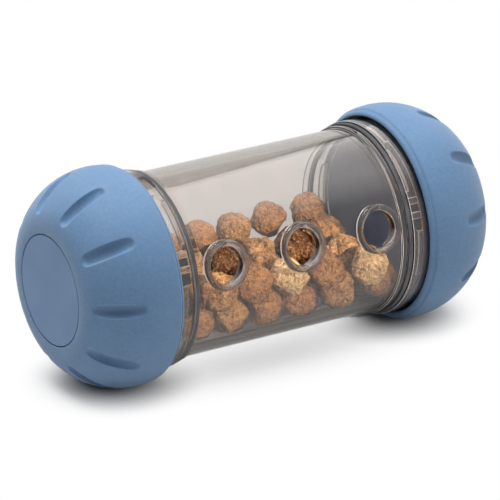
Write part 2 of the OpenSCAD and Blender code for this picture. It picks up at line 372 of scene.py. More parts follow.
bead = [
    Vector((
        RIM_TOP - RIM_BEAD + RIM_BEAD * math.sin(math.radians(angle)),
        RIM_INNER + RIM_BEAD - RIM_BEAD * math.cos(math.radians(angle)),
    ))
    for angle in range(0, 181, 9)
]
rim_foot = eased([
    (RIM_TOP - RIM_BEAD, RIM_OUTER, 0), (FOOT_R, RIM_OUTER, 0.12), (FOOT_R, SLEEVE_R, 0.12),
    (BORE_R, SLEEVE_R, 0.2), (BORE_R, RIM_INNER, 0.2), (RIM_TOP - RIM_BEAD, RIM_INNER, 0),
])
rim = turned("port_rim", bead + rim_foot[1:-1], RIM_TURN)
for point in rim.data.vertices:
    height = point.co.x / MM
    wall = FOOT_R if height > (FOOT_R + BORE_R) / 2 else BORE_R
    if height < FOOT_R + FOOT_EASE:
        drop = wall - math.sqrt(wall ** 2 - (point.co.y / MM) ** 2)
        point.co.x -= drop * MM
rims = {}
for side, along in PORT_PLACES.items():
    rims[side] = copied(rim, f"clear_port_rim_{side}")
    place(rims[side], turn=(0, -90, 0))
    place(rims[side], turn=(PORT_CLOCK, 0, 0), move=(along, 0, 0))
    smoothed(rims[side], flats=False)
bpy.data.objects.remove(rim)

# %% [markdown]
# A dark flat seal ring lies between each flange and the cap's collar, and shows as a band. It
# is a plain turned ring with eased edges.

# %% The seal rings
right_seal = turned("seal_ring_right", eased([
    (48.5, 36.5, 0.2), (48.5, 39.2, 0.5), (50.6, 39.2, 0.5), (50.6, 36.5, 0.2),
]))
seals = both_sides(right_seal, "seal_ring_left")

# %% [markdown]
# Each cap starts with a smoke collar, a short clear ring that reaches over the spigot. The cap's
# own four lugs stand inside it, and pass between the spigot's lugs or lock behind them.

# %% The collars
CAP_LUG_START = 116
CAP_LUG_RADII = (36.5, 37.9 + FUSE)
CAP_LUG_STATIONS = (51.0, 53.0)

right_collar = edges_marked(turned("cap_collar_right", eased([
    (50.6, 37.9, 0.3), (50.6, 39.8, 0.45), (60.4, 39.8, 0.2), (60.4, 37.9, 0.2),
])))
cap_lug = arc_block(
    "cap_lug", CAP_LUG_STATIONS, CAP_LUG_RADII, CAP_LUG_START, LUG_ARC, LUG_STEPS
)
cut_or_fused(right_collar, ring_of(cap_lug, LUG_COUNT), "UNION")
collars = both_sides(right_collar, "cap_collar_left")

# %% [markdown]
# The base is the opaque moulding that carries the rubber. Its floor plugs into the collar and
# closes the chamber. Behind the floor it has a grip ring that the rubber is stretched over, a
# bell, a hub and six ribs. One outline turns all but the ribs, which are fused on.

# %% The bases
RIB_COUNT = 6
RIB_SIZE = (8.7, 2, 28.4)
RIB_MIDDLE = (64.55, 0, 22.7)

right_base = turned("cap_base_right", eased([
    (58.0, 0, 0), (58.0, 37.85, 0.4), (60.4, 37.85, 0), (60.4, 41.4, 0.4), (63.4, 41.4, 0.4),
    (63.4, 38.4, 0.2), (74.4, 38.4, 0.4), (74.4, 36.4, 0.4), (61.2, 36.4, 0.6), (61.2, 9.0, 0.6),
    (87.5, 9.0, 0.4), (87.5, 4.05, 0.3), (67.1, 4.05, 0.3), (67.1, 0, 0),
]), closed=False)
rib = added("rib", bpy.ops.mesh.primitive_cube_add, size=MM)
place(rib, scale=RIB_SIZE, move=RIB_MIDDLE)
cut_or_fused(right_base, ring_of(rib, RIB_COUNT), "UNION")
bases = both_sides(right_base, "cap_base_left")

# %% [markdown]
# The rubber dome is what a dog grips. Its outline is two arcs that flow into each other, a wide
# crown and a tighter corner that rolls into the flat end face, and ten scoops are pressed into
# it, as if by a straight rod with round ends. The scoops could be cut with a boolean, but that
# leaves hard edges. Here the dome is spun with close columns where the scoops lie, the depth of
# the nearest scoop is painted as a vertex weight, a Displace modifier presses the skin in, and a
# Smooth modifier softens the rims.

# %% The dome's outline
CROWN = Vector((66.0, 12.9))
CROWN_R = 31.1
CORNER = Vector((79.4, 24.0))
CORNER_R = 13.7
TANGENT = 50.4
SCOOP_COUNT = 10
SCOOP_COLUMNS = [(13, 36), (23, 14)]


def arc_points(centre, radius, start, end, steps):
    """Points on an arc about a centre, by angles from the widest ring towards the end face."""
    angles = [math.radians(start + (end - start) * k / steps) for k in range(steps + 1)]
    return [centre + radius * Vector((math.sin(a), math.cos(a))) for a in angles]


skin = arc_points(CROWN, CROWN_R, -11.5, 7, 16)
skin += arc_points(CROWN, CROWN_R, 7, TANGENT, 56)[1:]
skin += arc_points(CORNER, CORNER_R, TANGENT, 90, 26)[1:]
lip = eased([
    (60.4, 40.5, 0.1), (57.2, 40.5, 0.45), (57.2, 41.8, 0.8), (58.7, 42.75, 0.2),
    (58.85, 42.5, 0.1), (59.35, 43.05, 0.2), (*skin[0], 0),
])[:-1]
seat = eased([
    (*skin[-1], 0), (93.1, 22.5, 0.3), (91.5, 22.5, 0.2), (91.5, 4.3, 0.3), (87.5, 4.3, 0.3),
    (87.5, 20.0, 2), (74.4, 38.45, 0.6), (63.4, 38.45, 0.2), (63.4, 41.45, 0.2),
    (60.4, 41.45, 0.2), (60.4, 40.5, 0),
])[1:-1]
dome = turned("dome", lip + skin + seat, SCOOP_COLUMNS * SCOOP_COUNT)
print("dome skin", len(skin), "rows;", len(dome.data.vertices), "points")

# %% Pressing the scoops
SCOOP_ROD = 2.85
SCOOP_DEPTH = 2.8
SCOOP_RUN = 18
SCOOP_MIDDLE = math.radians(36)
DEEPEST = 3.4
STEEPEST = 0.8
DISC_SEAT_R = 24
LINING_R = 29
SOFT_RIM = 1
FIRST_SCOOP = SCOOP_COLUMNS[0][0] / 2
PITCH = 360 / SCOOP_COUNT


def scoop_press(point):
    """How far the rod of the nearest scoop reaches below the skin at a point, in mm."""
    radius = math.hypot(point.y, point.z)
    clock = math.degrees(math.atan2(-point.y, point.z)) - FIRST_SCOOP
    off = math.radians((clock + PITCH / 2) % PITCH - PITCH / 2)
    away = Vector((point.x, radius * math.cos(off))) - CROWN
    angle = math.atan2(away.x, away.y) - SCOOP_MIDDLE
    height = away.length * math.cos(angle) - CROWN_R
    past_end = max(abs(away.length * math.sin(angle)) - SCOOP_RUN / 2, 0)
    off_line = math.hypot(radius * math.sin(off), past_end)
    if off_line < SCOOP_ROD:
        rod = SCOOP_ROD - SCOOP_DEPTH - math.sqrt(SCOOP_ROD ** 2 - off_line ** 2)
    else:
        rod = SCOOP_ROD - SCOOP_DEPTH + 2 * (off_line - SCOOP_ROD)
    return (height - rod) / max(math.cos(angle), STEEPEST)


scoops = dome.vertex_groups.new(name="scoops")
around = dome.vertex_groups.new(name="around")
pressed = 0
for point in dome.data.vertices:
    at = point.co / MM
    radius = math.hypot(at.y, at.z)
    if radius < DISC_SEAT_R or (Vector((at.x, radius)) - CROWN).length < LINING_R:
        continue
    press = scoop_press(at)
    if press > -SOFT_RIM:
        around.add([point.index], 1, "REPLACE")
    if press > 0:
        scoops.add([point.index], press / DEEPEST, "REPLACE")
        pressed += 1
applied(dome, "DISPLACE", vertex_group="scoops", mid_level=0, strength=-DEEPEST * MM)
applied(dome, "SMOOTH", vertex_group="around", factor=0.5, iterations=3)
print("points pressed by the scoops:", pressed)

# %% The two domes
SCOOP_CLOCKS = {"left": 14, "right": 8}
domes = {side: copied(dome, f"rubber_dome_{side}") for side in ("right", "left")}
place(domes["right"], turn=(SCOOP_CLOCKS["right"] - FIRST_SCOOP, 0, 0))
place(domes["left"], turn=(0, 0, 180))
place(domes["left"], turn=(SCOOP_CLOCKS["left"] + FIRST_SCOOP, 0, 0))
for piece in domes.values():
    smoothed(piece, degrees=35, flats=False)
bpy.data.objects.remove(dome)

# %% [markdown]
# A round disc of harder plastic fills the middle of each end face, with a fine shadow gap round
# it. Its stem goes through the rubber into the hub. It is turned with an eased edge.

# %% The end discs
right_disc = turned("end_disc_right", eased([
    (67.5, 0, 0), (67.5, 4.0, 1.0), (91.5, 4.0, 0.2), (91.5, 22.1, 0.2), (93.1, 22.1, 0.35),
    (93.1, 0, 0),
]), closed=False)
discs = both_sides(right_disc, "end_disc_left")

# %% [markdown]
# The kibble is baked from a coarse mash, so each piece is a rounded block with a lumpy, crumbly
# skin. The CAD model says where each piece lies and how it is turned. A coarse ball is wrapped
# on to each CAD piece and dented, which makes it a chunk with a few broad facets. Then it is
# divided finely, softened, and roughened by two more Displace modifiers, down to crumbs. Where a
# piece lies on the wall of the tube it is pressed flat. The pieces are kept in three batches,
# because a mix has darker, redder and paler pieces.

# %% Where each piece lies
heap = copied(frame["nodes"]["treat_kibble"], "heap")
heap.parent = None
del heap["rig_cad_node"]
bpy.ops.object.mode_set(mode="EDIT")
bpy.ops.mesh.select_all(action="SELECT")
bpy.ops.mesh.remove_doubles(threshold=MERGE)
bpy.ops.mesh.separate(type="LOOSE")
bpy.ops.object.mode_set(mode="OBJECT")
blocks = []
for block in bpy.context.selected_objects:
    spread = [[point.co[axis] for point in block.data.vertices] for axis in range(3)]
    blocks.append((Vector([(min(way) + max(way)) / 2 for way in spread]), block))
blocks.sort(key=lambda found: tuple(found[0]))
print("pieces of kibble:", len(blocks))

# %% Wrapping the pieces
BALL_R = 8.1
BALL_CUTS = 4
FINER = 2
DENTS = ("dents", 6.0, 3.4, 0.55)


def roughened(piece, name, size, strength, middle):
    """Pushes a skin in and out by a cloudy noise, with sizes in mm."""
    noise = bpy.data.textures.new(name, "CLOUDS")
    noise.noise_scale = size * MM
    noise.noise_depth = 2
    applied(
        piece, "DISPLACE",
        texture=noise, texture_coords="LOCAL", strength=strength * MM, mid_level=middle,
    )


def wrapped(ball, name, block, centre, turn):
    """A copy of the ball, turned and wrapped on to one CAD block, then dented and divided."""
    piece = place(copied(ball, name), turn=turn, move=centre / MM)
    applied(
        piece, "SHRINKWRAP", target=block, wrap_method="PROJECT",
        use_negative_direction=True, use_positive_direction=False,
    )
    roughened(piece, *DENTS)
    applied(piece, "SUBSURF", subdivision_type="SIMPLE", levels=FINER, render_levels=FINER)
    return applied(piece, "SMOOTH", factor=0.5, iterations=1)


ball = added("ball", bpy.ops.mesh.primitive_cube_add, size=2 * BALL_R * MM)
bpy.ops.object.mode_set(mode="EDIT")
bpy.ops.mesh.subdivide(number_cuts=BALL_CUTS)
bpy.ops.object.mode_set(mode="OBJECT")
applied(ball, "CAST", factor=1, size=BALL_R * MM, use_radius_as_size=False)
print("ball for wrapping:", len(ball.data.polygons), "faces")

# %% [markdown]
# Each piece's level of colour is kept as an attribute, for the crust. It is drawn at random, and it
# also carries painted shade: it is lower for pieces in the camera's line of sight through a port, and
# higher for the pieces seen through the wall. Two pieces in front are pale.

# %% Toning and sorting the pieces
SEED = 5
PALE_SPOTS = [Vector((0, -25.6, -7)), Vector((33, -23, -12))]
CAMERA_SIGHT = Vector((0.492, 0.786, -0.375))
PORT_NEAR = 5
PORT_FAR = 11
TONE_DRAW = 0.3
PORT_SHADE_LIFT = 1.15
TONE_LOW = -0.45
BATCHES = ("brown", "russet", "tan")


def off_ports(centre):
    """How far a piece lies from the camera's nearest line of sight through a port, in mm."""
    turn = math.radians(PORT_CLOCK)
    mouths = [
        Vector((along, -TUBE_R * math.sin(turn), TUBE_R * math.cos(turn)))
        for along in PORT_PLACES.values()
    ]
    return min((centre / MM - mouth).cross(CAMERA_SIGHT).length for mouth in mouths)


def toned_with_port_shade(piece, centre, chance):
    """Gives a piece a level for its crust from a chance from 0 to 1, with painted shade by ports."""
    # Painted shade: pieces in the camera's line of sight through a port get a lower level, the others a
    # higher one.
    unshaded_off_ports = min(max((off_ports(centre) - PORT_NEAR) / (PORT_FAR - PORT_NEAR), 0), 1)
    level = TONE_DRAW * chance + PORT_SHADE_LIFT * unshaded_off_ports + TONE_LOW
    tone_and_port_shade = piece.data.attributes.new("tone_and_port_shade", "FLOAT", "POINT")
    tone_and_port_shade.data.foreach_set("value", [level] * len(piece.data.vertices))


draw = random.Random(SEED)
batches = {batch: [] for batch in BATCHES}
pale = [
    min(range(len(blocks)), key=lambda i: (blocks[i][0] / MM - spot).length) for spot in PALE_SPOTS
]
for index, (centre, block) in enumerate(blocks):
    turn = [draw.uniform(0, 360) for axis in range(3)]
    piece = wrapped(ball, f"piece_{index}", block, centre, turn)
    toned_with_port_shade(piece, centre, draw.random())
    batch = "tan" if index in pale else draw.choice(("brown", "russet"))
    batches[batch].append(piece)
    bpy.data.objects.remove(block)
bpy.data.objects.remove(ball)
print("batches:", {batch: len(pieces) for batch, pieces in batches.items()})

# %% Crumbling the skin
GRAINS = [("knobs", 2.4, 1.6, 0.57), ("crumbs", 0.9, 0.5, 0.55)]
KEEP_IN = 34.4

kibble = {}
for batch, pieces in batches.items():
    joined(pieces)
    load = named(f"kibble_{batch}")
    for grain in GRAINS:
        roughened(load, *grain)
    for point in load.data.vertices:
        reach = math.hypot(point.co.y, point.co.z) / MM
        if reach > KEEP_IN:
            point.co.yz = point.co.yz * (KEEP_IN / reach)
    kibble[batch] = smoothed(load, degrees=60, flats=False)

# %% [markdown]
# Shaders are written as sums. A Wire is one output socket, and adding or multiplying wires adds
# the Math nodes. A Finish is one material, and its node method makes any other node. Its other
# methods are the nodes that several finishes use.

# %% Sums of wires


class Wire:
    """An output socket that can be used in sums."""

    def __init__(self, finish, socket):
        self.finish = finish
        self.socket = socket

    def sum(self, operation, other=0.0):
        return self.finish.node("Math", {"operation": operation}, {0: self, 1: other})

    def __add__(self, other):
        return self.sum("ADD", other)

    def __sub__(self, other):
        return self.sum("SUBTRACT", other)

    def __rsub__(self, other):
        return self.finish.node("Math", {"operation": "SUBTRACT"}, {0: other, 1: self})

    def __mul__(self, other):
        return self.sum("MULTIPLY", other)

    __radd__ = __add__
    __rmul__ = __mul__

    def within(self, low, high):
        """1 where the value lies between two others."""
        return self.sum("GREATER_THAN", low) * self.sum("LESS_THAN", high)


# %% Sheets of nodes


class Finish:
    """One material, or the world, as a sheet of nodes."""

    def __init__(self, owner):
        owner.use_nodes = True
        self.owner = owner
        self.tree = owner.node_tree
        self.tree.nodes.clear()

    def node(self, kind, settings=(), inputs=(), output=0):
        """Makes a node with these settings, and links or sets its inputs."""
        made = self.tree.nodes.new("ShaderNode" + kind)
        for name, value in dict(settings).items():
            setattr(made, name, value)
        for name, value in dict(inputs).items():
            if isinstance(value, Wire):
                self.tree.links.new(value.socket, made.inputs[name])
            else:
                made.inputs[name].default_value = value
        return Wire(self, made.outputs[output])

    def place(self):
        return self.node("TexCoord", output="Object")

    def axis(self, letter):
        return self.node("SeparateXYZ", {}, {0: self.place()}, letter)

    def ray(self, kind):
        return self.node("LightPath", output=kind)

    def mark(self, attribute):
        return self.node("Attribute", {"attribute_name": attribute}, output="Fac")

    def vector(self, operation, first, second=(0, 0, 0), output="Vector"):
        return self.node("VectorMath", {"operation": operation}, {0: first, 1: second}, output)

    def noise(self, scale, detail=2, roughness=0.5):
        inputs = {"Vector": self.place(), "Scale": scale, "Detail": detail, "Roughness": roughness}
        return self.node("TexNoise", {}, inputs)

    def between(self, factor, low, high):
        """A factor spread from 0 at low to 1 at high, smoothly."""
        inputs = {"Value": factor, "From Min": low, "From Max": high}
        return self.node("MapRange", {"interpolation_type": "SMOOTHSTEP"}, inputs)

    def ramp(self, factor, stops):
        """A colour that runs through stops of (position, colour)."""
        shade = self.node("ValToRGB", {}, {"Fac": factor})
        elements = shade.socket.node.color_ramp.elements
        while len(elements) < len(stops):
            elements.new(1)
        for element, (position, tint) in zip(elements, stops):
            element.position = position
            element.color = tint
        return shade

    def mix(self, factor, first, second):
        """One colour turning into another: a Mix node takes colours at 6 and 7, and gives one at 2."""
        return self.node("Mix", {"data_type": "RGBA"}, {0: factor, 6: first, 7: second}, 2)

    def blend(self, factor, first, second):
        """One shader turning into another."""
        return self.node("MixShader", {}, {0: factor, 1: first, 2: second})

    def bump(self, height, distance, strength=1.0):
        inputs = {"Height": height, "Distance": distance, "Strength": strength}
        return self.node("Bump", {}, inputs)

    def surface(self, inputs):
        return self.node("BsdfPrincipled", {}, inputs)

    def watched(self):
        """1 for rays that the camera sees, directly or in clear plastic, and 0 for lit light."""
        kinds = ("Is Camera Ray", "Is Glossy Ray", "Is Transmission Ray")
        camera, glossy, through = [self.ray(kind) for kind in kinds]
        either = camera + glossy + through
        return either.sum("MINIMUM", 1.0) * self.ray("Diffuse Depth").sum("LESS_THAN", 0.5)

    def show(self, surface, volume=None, output="OutputMaterial"):
        """Links what is shown, and gives back the material or the world."""
        made = self.tree.nodes.new("ShaderNode" + output)
        self.tree.links.new(surface.socket, made.inputs["Surface"])
        if volume is not None:
            self.tree.links.new(volume.socket, made.inputs["Volume"])
        print(self.owner.name, "with", len(self.tree.nodes), "nodes")
        return self.owner


def new_finish(name):
    return Finish(bpy.data.materials.new(name))


def colour(red, green, blue):
    """A colour as it is picked on screen, from 0 to 255, made linear for the shader."""
    shares = [channel / 255 for channel in (red, green, blue)]
    linear = [s / 12.92 if s <= 0.04045 else ((s + 0.055) / 1.055) ** 2.4 for s in shares]
    return (*linear, 1)


# %% [markdown]
# The domes are soft-touch rubber: a dusty mid blue with a matte sheen, a very fine grain from
# the mould, and a faint cloudiness. Handling polishes it a little, so the roughness drifts too.

# %% Blue rubber
rubber = new_finish("blue_soft_rubber")
clouds = rubber.noise(scale=38, detail=3)
grain = rubber.noise(scale=2300, roughness=0.6)
fine = rubber.noise(scale=700, detail=3, roughness=0.6)
dust = rubber.between(clouds, low=0.3, high=0.7)
blue = rubber.mix(dust, colour(87, 117, 150), colour(94, 124, 156))
specks = 0.08 * rubber.between(fine, low=0.3, high=0.7)
blue_rubber = rubber.show(rubber.surface({
    "Base Color": rubber.mix(specks, blue, colour(150, 176, 204)),
    "Roughness": 0.5 + 0.1 * dust + 0.06 * fine,
    "Specular IOR Level": 0.22,
    "Sheen Weight": 0.14,
    "Sheen Roughness": 0.5,
    "Normal": rubber.bump(grain + 0.5 * fine, distance=0.00006, strength=0.22),
}))

# %% [markdown]
# The end disc is a harder plastic in nearly the same blue, a touch greyer, with a fine spark
# texture from the mould.

# %% Disc plastic
plate = new_finish("blue_grey_plastic")
tooled = plate.noise(scale=1500, roughness=0.6)
drift = plate.between(plate.noise(scale=45), low=0.3, high=0.7)
disc_plastic = plate.show(plate.surface({
    "Base Color": plate.mix(drift, colour(97, 125, 160), colour(103, 131, 167)),
    "Roughness": 0.46 + 0.12 * tooled,
    "Specular IOR Level": 0.3,
    "Normal": plate.bump(tooled, distance=0.00005, strength=0.3),
}))

# %% [markdown]
# The bases are a darker slate-blue plastic, seen through the tube as its end walls. The satin
# finish is broken by dull patches. Each end wall is painted lighter below and darker at the top,
# as painted shade at the top. Here and in the finishes below, places are in metres.

# %% Base plastic
WALL_REACH = 0.0586
PAINTED_SHADE_TOP = 0.024
PAINTED_LIGHT_FULL = 0.012

slate = new_finish("slate_base_plastic")
rubbed = slate.between(slate.noise(scale=70, detail=4, roughness=0.6), low=0.4, high=0.7)
bare = slate.mix(rubbed, colour(50, 57, 70), colour(58, 65, 78))
on_wall = slate.axis("X").sum("ABSOLUTE").sum("LESS_THAN", WALL_REACH)
# Painted light and shade: the wall turns a paler blue below and keeps the dark slate at the top.
painted_light_share = on_wall * slate.between(slate.axis("Z"), PAINTED_SHADE_TOP, PAINTED_LIGHT_FULL) * (0.8 + 0.2 * rubbed)
slate_plastic = slate.show(slate.surface({
    "Base Color": slate.mix(painted_light_share, bare, colour(112, 124, 150)),
    "Roughness": 0.38 + 0.2 * rubbed,
    "Specular IOR Level": 0.2,
    "Normal": slate.bump(slate.noise(scale=1600), distance=0.00004, strength=0.25),
}))

# %% [markdown]
# The tube is clear plastic with a smoke tint. The tint is in the plastic and not on it, so a
# Volume Absorption darkens it by the length of plastic that the light crosses: the wall looks
# pale in the middle and deeper at the edges. Real plastic also lets light through to the
# kibble, which a glass shader blocks, so rays to the lamps cross a Transparent shader instead.
# It is darker low down, because the round wall bends light away from the floor beneath it.
# The eased edges of the clear pieces get a pale matte colour, a painted highlight that draws each lug
# as a pale frame.

# %% Clear plastic
PLASTIC_IOR = 1.49
EDGE_HIGHLIGHT_SHARE = 0.6
DIM_HEIGHT = -0.028
CLEAR_HEIGHT = -0.018
DIM_SHARE = 0.3
CLEAR_SHARE = 0.98


def clear_plastic(name, tint, density, haze, satin=0.0):
    """A clear finish with a smoke tint, a haze of fine handling marks and a painted highlight on eased
    edges.
    """
    finish = new_finish(name)
    marks = finish.between(finish.noise(scale=60, detail=4, roughness=0.6), low=0.45, high=0.8)
    glass = finish.surface({
        "Base Color": (1, 1, 1, 1),
        "Roughness": haze + 0.012 * marks,
        "IOR": PLASTIC_IOR,
        "Transmission Weight": 1,
        "Normal": finish.bump(finish.noise(scale=90), distance=0.00004, strength=0.04),
    })
    # Painted highlight: a pale matte colour on the eased edges stands in for light that they catch;
    # satin mixes a little of it over the whole piece.
    frost_and_edge_highlight = finish.surface({"Base Color": colour(214, 204, 196), "Roughness": 0.45})
    body = finish.blend(finish.mark("edge") * EDGE_HIGHLIGHT_SHARE + satin, glass, frost_and_edge_highlight)
    height = finish.between(finish.axis("Z"), DIM_HEIGHT, CLEAR_HEIGHT)
    dim, clear = [
        finish.node("BsdfTransparent", {}, {"Color": (share, share, share, 1)})
        for share in (DIM_SHARE, CLEAR_SHARE)
    ]
    to_lamps = finish.ray("Is Shadow Ray")
    surface = finish.blend(to_lamps, body, finish.blend(height, dim, clear))
    smoke = finish.node("VolumeAbsorption", {}, {"Color": tint, "Density": density})
    return finish, surface, smoke


rim_finish, surface, smoke = clear_plastic(
    "clear_rim_plastic", tint=(0.6, 0.555, 0.54, 1), density=480, haze=0.006, satin=0.015
)
clear_rim = rim_finish.show(surface, smoke)
collar_finish, surface, smoke = clear_plastic(
    "smoke_collar_plastic", tint=(0.55, 0.485, 0.44, 1), density=285, haze=0.004
)
smoke_collar = collar_finish.show(surface, smoke)

# %% [markdown]
# Two more things are painted on the tube. On its neck a dark strip of painted shade lies between
# the nibs, where the recess is in shadow; it is found by its radius, its clock angle and its station
# along the axis. Along the bottom of the bore a dark film of painted shade lies in streaks along
# the axis, which darkens the low part of the tube.

# %% The tube's plastic
NECK_BAND = (0.0359, 0.0363)
SHADE_STRIP_CLOCK = (64, 80)
SHADE_STRIP_STATIONS = (0.0510, 0.0560)
BORE_BAND = (0.034, 0.036)
SHADE_FILM_TOP = -0.0225
SHADE_FILM_FULL = -0.0265
STREAK_STRETCH = (0.05, 1, 1)

tube_finish, surface, smoke = clear_plastic(
    "smoke_clear_plastic", tint=(0.644, 0.596, 0.55, 1), density=265, haze=0.002
)
along, across, up = [tube_finish.axis(letter) for letter in "XYZ"]
radius = (across * across + up * up).sum("POWER", 0.5)
turn = (across * -1).sum("ARCTAN2", up) * (180 / math.pi) + 360
clock = turn.sum("MODULO", 360 / LUG_COUNT)
# Painted shade: a dark matte strip on the neck between the nibs, where the recess is in shadow.
painted_shade_strip_mask = radius.within(*NECK_BAND) * clock.within(*SHADE_STRIP_CLOCK)
painted_shade_strip_mask = painted_shade_strip_mask * along.sum("ABSOLUTE").within(*SHADE_STRIP_STATIONS)
painted_shade_strip = tube_finish.surface({"Base Color": colour(26, 26, 28), "Roughness": 0.5})
drawn_out = tube_finish.vector("MULTIPLY", tube_finish.place(), STREAK_STRETCH)
shade_streaks = tube_finish.node("TexNoise", {}, {"Vector": drawn_out, "Scale": 150, "Detail": 2})
# Painted shade: a dark matte film along the bottom of the bore darkens the low part of the tube, in
# streaks along the axis.
shade_film_share = tube_finish.between(up, SHADE_FILM_TOP, SHADE_FILM_FULL) * radius.within(*BORE_BAND)
shade_film_share = shade_film_share * (0.3 + 0.5 * tube_finish.between(shade_streaks, low=0.4, high=0.6))
painted_shade_film = tube_finish.surface({"Base Color": colour(52, 46, 42), "Roughness": 0.8})
with_painted_shade_film = tube_finish.blend(shade_film_share * (1 - tube_finish.ray("Is Shadow Ray")), surface, painted_shade_film)
smoke_clear = tube_finish.show(tube_finish.blend(painted_shade_strip_mask, with_painted_shade_film, painted_shade_strip), smoke)

# %% [markdown]
# The seal is black rubber, satin where it has been pressed against the flange.

# %% Seal rubber
ring = new_finish("black_seal_rubber")
worn = ring.between(ring.noise(scale=160, detail=3, roughness=0.6), low=0.35, high=0.7)
black_seal = ring.show(ring.surface({
    "Base Color": ring.mix(worn, colour(34, 34, 37), colour(52, 52, 56)),
    "Roughness": 0.42 + 0.2 * worn,
    "Normal": ring.bump(ring.noise(scale=1800), distance=0.00004, strength=0.3),
}))

# %% [markdown]
# Baked kibble is a brown crust full of ground grain: pale specks, darker pits and a slight oily
# gloss. An attribute makes each piece a little lighter or darker than the next, at random. It also
# carries painted shade: the pieces that show in the ports are painted darkest, and those seen
# through the wall lighter.

# %% Kibble crust
CRUSTS = {
    "brown": [(72, 42, 20), (144, 98, 56), (184, 136, 86), (226, 194, 142)],
    "russet": [(70, 40, 20), (134, 89, 52), (172, 122, 76), (218, 176, 122)],
    "tan": [(108, 74, 44), (190, 148, 100), (222, 186, 138), (246, 222, 178)],
}


def crust(name, dark, middle, light, speck):
    """A crumbly crust from dark pits over a middle brown to light crumbs and pale specks."""
    finish = new_finish(name)
    crumbs = finish.between(finish.noise(scale=750, detail=4, roughness=0.65), low=0.32, high=0.68)
    patches = finish.between(finish.noise(scale=170, detail=3, roughness=0.6), low=0.3, high=0.7)
    # The attribute brings the painted port shade into the crust's level here.
    level = 0.8 * crumbs + 0.35 * patches + 0.5 * finish.mark("tone_and_port_shade") - 0.3
    brown = finish.ramp(level, [(0.06, dark), (0.44, middle), (0.86, light)])
    cells = finish.node("TexVoronoi", {}, {"Vector": finish.place(), "Scale": 1100}, "Distance")
    specks = 1 - finish.between(cells, low=0.15, high=0.35)
    some = finish.between(finish.noise(scale=300), low=0.4, high=0.6)
    brown = finish.mix(0.85 * specks * some, brown, speck)
    pits = finish.between(finish.noise(scale=420, detail=3, roughness=0.7), low=0.44, high=0.34)
    brown = finish.mix(0.6 * pits, brown, dark)
    return finish.show(finish.surface({
        "Base Color": brown,
        "Roughness": 0.6 + 0.25 * crumbs,
        "Specular IOR Level": 0.4,
        "Normal": finish.bump(crumbs + 0.5 * specks - 0.8 * pits, distance=0.0009, strength=0.9),
    }))


crusts = {
    batch: crust(f"kibble_{batch}_crust", *[colour(*shade) for shade in shades])
    for batch, shades in CRUSTS.items()
}

# %% [markdown]
# Each finished piece gets its material, rides on the body that carries it in the CAD model, and
# stands for the CAD node that it replaces.

# %% Dress the bodies


def dressed(piece, material, body, node):
    piece.data.materials.clear()
    piece.data.materials.append(material)
    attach(piece, body)
    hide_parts(node)
    print(piece.name, "rides on", body)


dressed(tube, smoke_clear, "chamber", "tube")
for side, piece in rims.items():
    dressed(piece, clear_rim, "chamber", f"port_rim_{side}")
for batch, piece in kibble.items():
    dressed(piece, crusts[batch], "chamber", "treat_kibble")
for side in ("left", "right"):
    dressed(seals[side], black_seal, f"{side}_seal_ring", f"{side}_seal")
    dressed(collars[side], smoke_collar, f"{side}_cap", f"{side}_collar")
    dressed(bases[side], slate_plastic, f"{side}_cap", f"{side}_base")
    dressed(domes[side], blue_rubber, f"{side}_cap", f"{side}_dome")
    dressed(discs[side], disc_plastic, f"{side}_cap", f"{side}_disc")

# %% [markdown]
# The studio is plain: a white floor and a white room. The floor is a matte paper where the toy
# stands, which keeps its shadow, and turns into even white further out. Near the tube the paper
# looks darker in reflections than it does to the camera, or the low part of the tube would shine.
# Clear plastic shows its surroundings, so the room is white for what the camera and the plastic
# see, and gives only a little light.

# %% Floor
WHITE = (1, 1, 1, 1)
PAPER_GREY = (0.7, 0.7, 0.7, 1)
FLOOR_Z = cad_low.z
FLOOR_SIZE = 8
DOME_FOOT = (0.066, 0, 0)
DOME_SHADOW = (0.008, 0.04)
TUBE_STRETCH = (0.45, 1, 0)
TUBE_SHADOW = (0.008, 0.05)
TUBE_SHARE = 0.62
MIRRORED = (0.03, 0.06)
MIRRORED_SHARE = 0.4

floor = added("studio_floor", bpy.ops.mesh.primitive_plane_add, size=FLOOR_SIZE)
place(floor, move=(0, 0, FLOOR_Z / MM))
paper = new_finish("white_paper")
flat = paper.vector("MULTIPLY", paper.place(), (1, 1, 0))
from_dome = paper.vector("DISTANCE", paper.vector("ABSOLUTE", flat), DOME_FOOT, "Value")
from_tube = paper.vector("LENGTH", paper.vector("MULTIPLY", flat, TUBE_STRETCH), output="Value")
past_tube = TUBE_SHARE + (1 - TUBE_SHARE) * paper.between(from_tube, *TUBE_SHADOW)
mirrored = MIRRORED_SHARE + (1 - MIRRORED_SHARE) * paper.between(from_tube, *MIRRORED)
direct = paper.ray("Is Camera Ray")
even = paper.between(from_dome, *DOME_SHADOW) * past_tube * (direct + (1 - direct) * mirrored)
matte = paper.node("BsdfDiffuse", {}, {"Color": PAPER_GREY})
white = paper.node("Emission", {}, {"Color": WHITE, "Strength": 1.0})
paper.owner.cycles.emission_sampling = "NONE"
floor.data.materials.append(paper.show(paper.blend(even * paper.watched(), matte, white)))

# %% Room
room = Finish(bpy.data.worlds.new("white_room"))
bpy.context.scene.world = room.owner
lit, shown = [
    room.node("Background", {}, {"Color": WHITE, "Strength": strength}) for strength in (0.1, 1.0)
]
room.show(room.blend(room.watched(), lit, shown), output="OutputWorld")

# %% [markdown]
# Soft lamps stand above, behind and in front, and a small one with a narrow beam lights the kibble
# in the tube. All but the lamp behind would show as bright patches on the clear wall or through
# it, so shiny and clear plastic doesn't see them.

# %% Lamps


